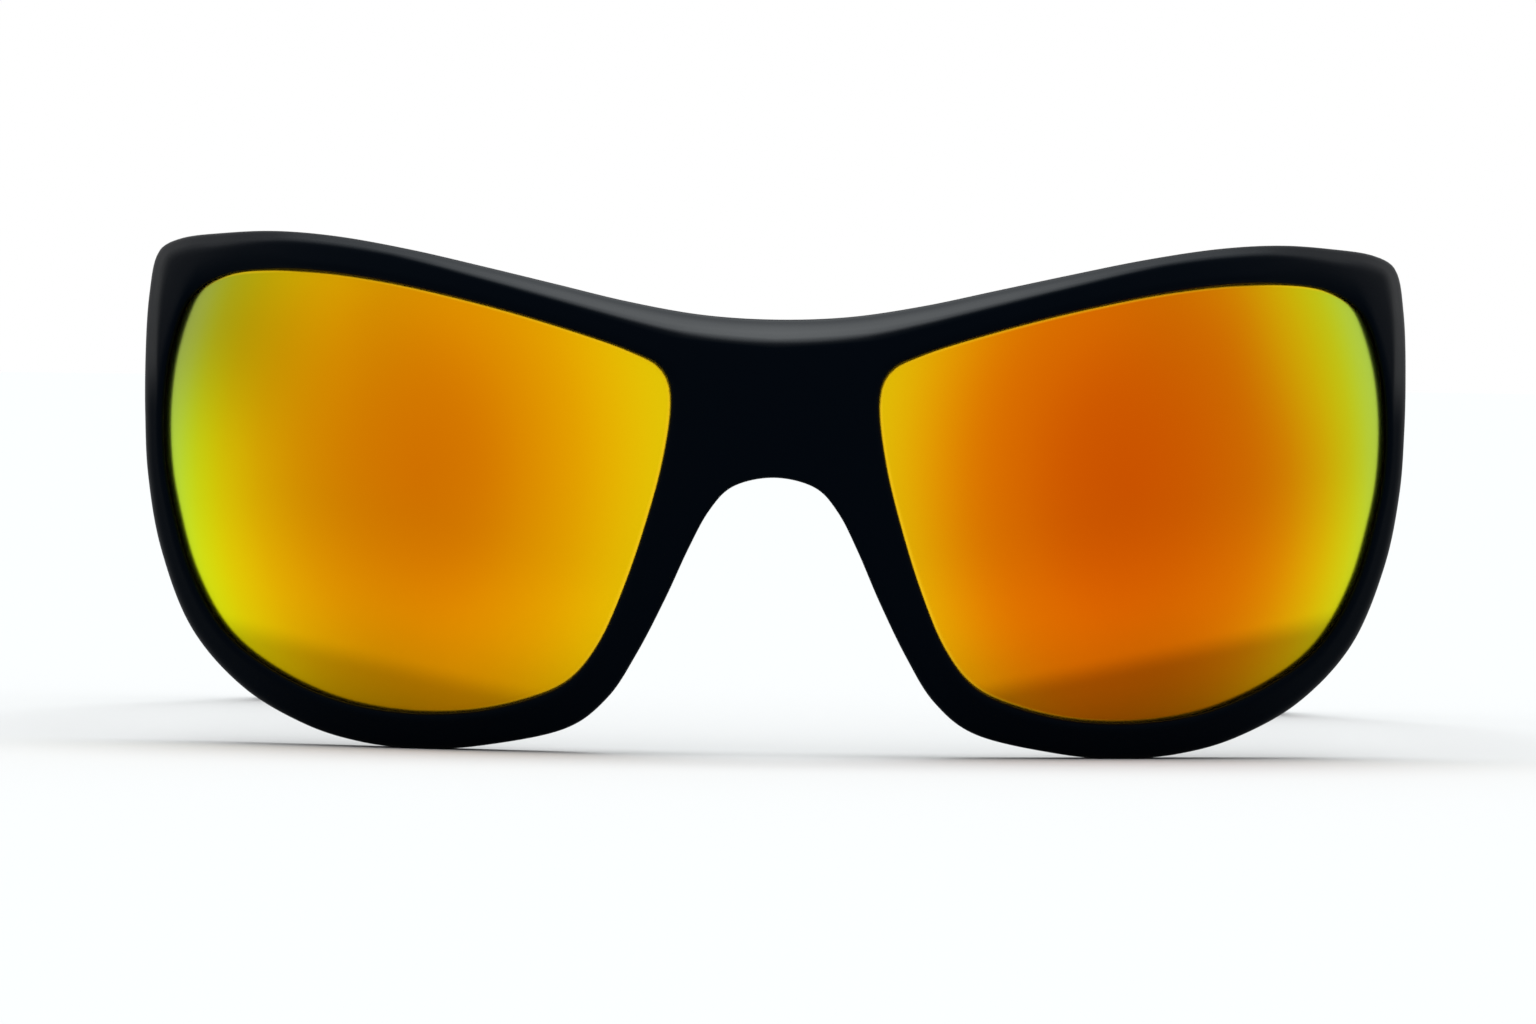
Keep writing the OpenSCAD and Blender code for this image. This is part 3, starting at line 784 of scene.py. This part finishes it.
def new_material(name, color, metallic=0.0, specular=0.5, **sockets):
    """A material with these values on its shader, and its Object coordinates."""
    m = bpy.data.materials.new(name)
    m.use_nodes = True
    shader = m.node_tree.nodes["Principled BSDF"]
    shader.inputs["Base Color"].default_value = (*color, 1)
    shader.inputs["Metallic"].default_value = metallic
    shader.inputs["Specular IOR Level"].default_value = specular
    for k, v in sockets.items():
        shader.inputs[k.replace("_", " ")].default_value = v
    coords = m.node_tree.nodes.new("ShaderNodeTexCoord")
    return m, m.node_tree, shader, coords.outputs["Object"]


def grained(m, tree, shader, coords, size, low, high, bump, distance=0.03 * MM):
    """Gives a material the fine grain: its size, its least and most roughness and its relief."""
    n = tree.nodes.new("ShaderNodeGroup")
    n.node_tree = fine_grain
    n.inputs["Size"].default_value = size
    n.inputs["Low gloss"].default_value = low
    n.inputs["High gloss"].default_value = high
    tree.links.new(coords, n.inputs["Vector"])
    b = tree.nodes.new("ShaderNodeBump")
    b.inputs["Strength"].default_value = bump
    b.inputs["Distance"].default_value = distance
    tree.links.new(n.outputs["Height"], b.inputs["Height"])
    tree.links.new(b.outputs["Normal"], shader.inputs["Normal"])
    tree.links.new(n.outputs["Roughness"], shader.inputs["Roughness"])
    return m


def ramp(tree, value, stops):
    """Colours along a value, each stop a place and a colour."""
    r = tree.nodes.new("ShaderNodeValToRGB")
    r.color_ramp.interpolation = "B_SPLINE"
    e = r.color_ramp.elements
    e[0].position, e[0].color = stops[0][0], (*stops[0][1], 1)
    e[1].position, e[1].color = stops[-1][0], (*stops[-1][1], 1)
    for place, color in stops[1:-1]:
        e.new(place).color = (*color, 1)
    tree.links.new(value, r.inputs["Fac"])
    return r.outputs["Color"]


def shade(*rgb):
    """Screen values out of 255 as the linear colour a shader takes."""
    return tuple((c / 255 / 12.92) if c / 255 <= 0.04045 else ((c / 255 + 0.055) / 1.055) ** 2.4 for c in rgb)


def calc(tree, kind, *values):
    """A Math node; each value is a socket or a number."""
    n = tree.nodes.new("ShaderNodeMath")
    n.operation = kind
    for socket, value in zip(n.inputs, values):
        if isinstance(value, (int, float)):
            socket.default_value = value
        else:
            tree.links.new(value, socket)
    return n.outputs[0]


def rise(tree, value, low, high, to_low=0.0, to_high=1.0):
    """A smooth step of a value between two limits."""
    n = tree.nodes.new("ShaderNodeMapRange")
    n.interpolation_type = "SMOOTHSTEP"
    for socket, number in zip(n.inputs[1:5], (low, high, to_low, to_high)):
        socket.default_value = number
    tree.links.new(value, n.inputs["Value"])
    return n.outputs[0]


def blend(tree, kind, share, a, b):
    """A Mix node for colours; each of share, a and b is a socket or a value."""
    n = tree.nodes.new("ShaderNodeMix")
    n.data_type, n.blend_type = "RGBA", kind
    for socket, value in zip((n.inputs["Factor"], n.inputs["A"], n.inputs["B"]), (share, a, b)):
        if isinstance(value, (int, float)):
            socket.default_value = value
        elif isinstance(value, tuple):
            socket.default_value = (*value, 1)
        else:
            tree.links.new(value, socket)
    return n.outputs["Result"]


def reading(tree, name):
    """The number that paint() kept on a mesh."""
    n = tree.nodes.new("ShaderNodeAttribute")
    n.attribute_name = name
    return n.outputs["Fac"]


def nylon(name, gloss, cast, polished=False):
    """Matt black moulded nylon; cast is the colour of its faint shine."""
    m, tree, shader, coords = new_material(name, (0.0003, 0.0008, 0.002), specular=gloss,
                                           Specular_Tint=(*cast, 1))
    if polished:
        shader.inputs["Coat Roughness"].default_value = 0.3
        tree.links.new(calc(tree, "MULTIPLY", reading(tree, "polish"), 0.4), shader.inputs["Coat Weight"])
    return grained(m, tree, shader, coords, 3000, 0.36, 0.46, 0.25)


def rubber(name):
    """Dark grey rubber with a coarse matt skin."""
    m, tree, shader, coords = new_material(name, (0.006, 0.0068, 0.0075), specular=0.2)
    return grained(m, tree, shader, coords, 5200, 0.6, 0.75, 0.5)


def steel(name, low, high, tint=0.62):
    """Steel brushed along the temples, low to high in roughness."""
    m, tree, shader, coords = new_material(name, (tint, tint * 1.005, tint * 1.02), metallic=1.0)
    stretch = tree.nodes.new("ShaderNodeMapping")
    stretch.inputs["Scale"].default_value = (1, 0.06, 1)
    tree.links.new(coords, stretch.inputs["Vector"])
    return grained(m, tree, shader, stretch.outputs["Vector"], 6000, low, high, 0.2, 0.01 * MM)


FILM_X, FILM_Z = 38.3 * MM, 30 * MM        # where the coating is at its deepest orange
FILM_REACH = 30 * MM                       # from there to its last colour
FLATTEN = 0.66                             # its rings of colour are taller than they are wide
PAINTED_HORIZON_SLOPE = 0.21                         # how fast the line over the brown low edge, a painted reflection of shade, falls towards the ear
PAINTED_HORIZON_Z = (8.3 * MM, 10.3 * MM)            # its height at FILM_X, on the right and the left lens


def lens_mirror():
    """The mirror coating: orange amid each lens, through gold and yellow to green at its side."""
    m, tree, shader, coords = new_material("orange_mirror", (0.8, 0.3, 0.0), metallic=1.0, Roughness=0.24)
    parts = tree.nodes.new("ShaderNodeSeparateXYZ")
    tree.links.new(coords, parts.inputs[0])
    x, z = parts.outputs["X"], parts.outputs["Z"]

    def times(a, b):
        return calc(tree, "MULTIPLY", a, b)

    def less(a, b):
        return calc(tree, "SUBTRACT", a, b)

    def by_side(right, left):
        """One value on the right lens and another on the left."""
        return rise(tree, x, -MM, MM, right, left)

    out = less(calc(tree, "ABSOLUTE", x), FILM_X)
    up = times(less(z, FILM_Z), FLATTEN)
    reach = calc(tree, "SQRT", calc(tree, "ADD", times(out, out), times(up, up)))
    share = calc(tree, "DIVIDE", reach, FILM_REACH)

    nose_side = ramp(tree, share, [
        (0, shade(208, 112, 0)), (6 / 30, shade(212, 118, 0)), (11 / 30, shade(220, 136, 0)),
        (17 / 30, shade(228, 160, 0)), (22 / 30, shade(232, 183, 2)), (27 / 30, shade(226, 198, 8))])
    ear_side = ramp(tree, share, [
        (0, shade(208, 112, 0)), (7 / 30, shade(209, 121, 0)), (13 / 30, shade(211, 139, 0)),
        (18 / 30, shade(215, 163, 0)), (22 / 30, shade(213, 190, 0)), (25 / 30, shade(199, 209, 4)),
        (27 / 30, shade(186, 216, 40)), (1, shade(172, 214, 90))])
    color = blend(tree, "MIX", rise(tree, out, -6 * MM, 6 * MM), nose_side, ear_side)
    # The left lens is redder than the right one, least at its rim and its top outer corner
    corner = times(rise(tree, out, 8 * MM, 22.5 * MM), rise(tree, z, 28 * MM, 47 * MM))
    warm = times(times(by_side(0, 1), rise(tree, share, 0.45, 1, 1, 0.15)), rise(tree, corner, 0, 1, 1, 0.5))
    color = blend(tree, "MULTIPLY", warm, color, (0.93, 0.52, 1.0))
    # Painted shade and reflection: the top outer corner is duller, most of all on the right lens
    color = blend(tree, "MULTIPLY", times(corner, by_side(1, 0.2)), color, (0.68, 0.57, 1.0))
    # Painted reflection: a sloping line parts a painted bright band over the lower half from a painted brown
    # shade at the low edge
    height = less(less(z, times(out, PAINTED_HORIZON_SLOPE)), by_side(*PAINTED_HORIZON_Z))
    above = rise(tree, height, -1.4 * MM, 1.6 * MM)
    painted_highlight_band = times(above, rise(tree, height, 4 * MM, 18 * MM, 1, 0))
    color = blend(tree, "MULTIPLY", painted_highlight_band, color, (1.19, 1.17, 1.0))
    # Painted shade: darker and browner below the line, less so on the right lens
    color = blend(tree, "MULTIPLY", times(less(1.0, above), by_side(0.55, 1)), color, (0.72, 0.69, 0.8))
    # Painted highlight: a bright yellow line mixed in along the lens's edge
    color = blend(tree, "MIX", times(reading(tree, "edge_highlight"), 0.7), color, shade(255, 205, 30))
    tree.links.new(color, shader.inputs["Base Color"])
    # Seen from behind, the coating lets part of the light through
    facing = tree.nodes.new("ShaderNodeNewGeometry").outputs["Backfacing"]
    tree.links.new(rise(tree, facing, 0, 1, 1.0, 0.7), shader.inputs["Alpha"])
    return m


AMBER = (0.045, 0.017, 0.004)


def lens_rear():
    """The bare lens behind the coating, tinted a dark amber, a little deeper towards the brow."""
    m, tree, shader, coords = new_material("amber_lens", AMBER, Alpha=0.8)
    parts = tree.nodes.new("ShaderNodeSeparateXYZ")
    tree.links.new(coords, parts.inputs[0])
    deeper = rise(tree, parts.outputs["Z"], 20 * MM, 50 * MM)
    tree.links.new(blend(tree, "MULTIPLY", deeper, AMBER, (0.7, 0.62, 0.5)), shader.inputs["Base Color"])
    return grained(m, tree, shader, coords, 900, 0.05, 0.08, 0.004)


front_black = nylon("black_nylon", 0.025, (0.4, 0.7, 1.0), polished=True)
temple_black = nylon("temple_nylon", 0.11, (0.72, 0.86, 1.0))
grip_soft = rubber("grip_rubber")
pad_soft = rubber("pad_rubber")
leaf_steel = steel("hinge_steel", 0.25, 0.36)
screw_steel = steel("screw_steel", 0.18, 0.3, 0.5)
core_steel = steel("core_steel", 0.3, 0.4)
mirror_film = lens_mirror()
amber = lens_rear()


def finish(obj, *materials):
    """Gives a piece or a CAD node these materials, and no other."""
    if obj.data.materials:
        obj.data.materials.clear()
    for material in materials:
        obj.data.materials.append(material)
    return obj


# ---------------------------------------------------------------- the object

front = make_front()
for side in (1, -1):
    front = join(front, end_piece(side), make_wing(side))
front.name = "front_moulding"
smooth(finish(front, front_black))
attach(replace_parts(front, "front_frame"), "front")

lens = make_lens()
for side, word in ((1, "left"), (-1, "right")):
    piece = for_side(copy_of(lens, f"lens_{word}_mirror"), side)
    smooth(finish(piece, mirror_film, amber))
    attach(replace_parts(piece, f"lens_{word}"), "front")
    pad = make_pad(side)
    pad.name = f"pad_{word}"
    smooth(finish(pad, pad_soft))
    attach(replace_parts(pad, f"nose_pad_{word}"), "front")
    temple = make_temple(side)
    temple.name = f"temple_{word}_moulding"
    smooth(finish(temple, temple_black))
    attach(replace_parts(temple, f"temple_{word}"), f"{word}_temple")
    grip = make_grip(side)
    grip.name = f"grip_{word}"
    smooth(finish(grip, grip_soft))
    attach(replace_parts(grip, f"ear_grip_{word}"), f"{word}_temple")
    for node, material in (("front_leaf", leaf_steel), ("temple_leaf", leaf_steel),
                           ("front_leaf_screws", screw_steel), ("temple_leaf_screws", screw_steel),
                           ("hinge_screw", screw_steel), ("temple_core", core_steel)):
        finish(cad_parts[f"{node}_{word}"], material)
bpy.data.objects.remove(lens)


# ---------------------------------------------------------------- studio

FLOOR_SIZE, FLOOR_DROP = 6, 0.02 * MM
REACH = 1.5                             # from the camera to what it aims at
VIEW_WIDE = 0.1699                      # how wide the camera sees there
RAISE = math.radians(1.3)
ROLL = math.radians(0.84)
SENSOR = 36

bpy.ops.object.select_all(action="DESELECT")
bpy.ops.mesh.primitive_plane_add(size=FLOOR_SIZE, location=(0, 0, -FLOOR_DROP))
floor = bpy.context.object
floor.name = "studio_floor"
finish(floor, new_material("studio_white", (0.492, 0.492, 0.492), specular=0.0, Roughness=0.9)[0])

world = bpy.data.worlds.new("studio")
bpy.context.scene.world = world
world.use_nodes = True
world.node_tree.nodes["Background"].inputs["Color"].default_value = (1, 1, 1, 1)
world.node_tree.nodes["Background"].inputs["Strength"].default_value = 1.0

panel = bpy.data.lights.new("overhead_panel", "SUN")
panel.energy = 3.4
panel.angle = math.radians(60)
panel.color = (0.94, 0.985, 1.0)
overhead = bpy.data.objects.new("overhead_panel", panel)
bpy.context.collection.objects.link(overhead)
overhead.rotation_euler = (-math.radians(14), 0, 0)

camera_data = bpy.data.cameras.new("camera")
camera = bpy.data.objects.new("camera", camera_data)
bpy.context.collection.objects.link(camera)
bpy.context.scene.camera = camera
camera_data.sensor_width = SENSOR
camera_data.lens = SENSOR * REACH / VIEW_WIDE
camera_data.clip_start, camera_data.clip_end = 0.05, 20
aim = Vector((-0.6 * MM, (SHIFT_Y + 30) * MM, 25.9 * MM))
camera.location = aim + Vector((0, -math.cos(RAISE), math.sin(RAISE))) * REACH
turn = Matrix.Rotation(math.pi / 2 - RAISE, 3, "X") @ Matrix.Rotation(ROLL, 3, "Z")
camera.rotation_euler = turn.to_euler()

bpy.context.scene.view_settings.view_transform = "Standard"
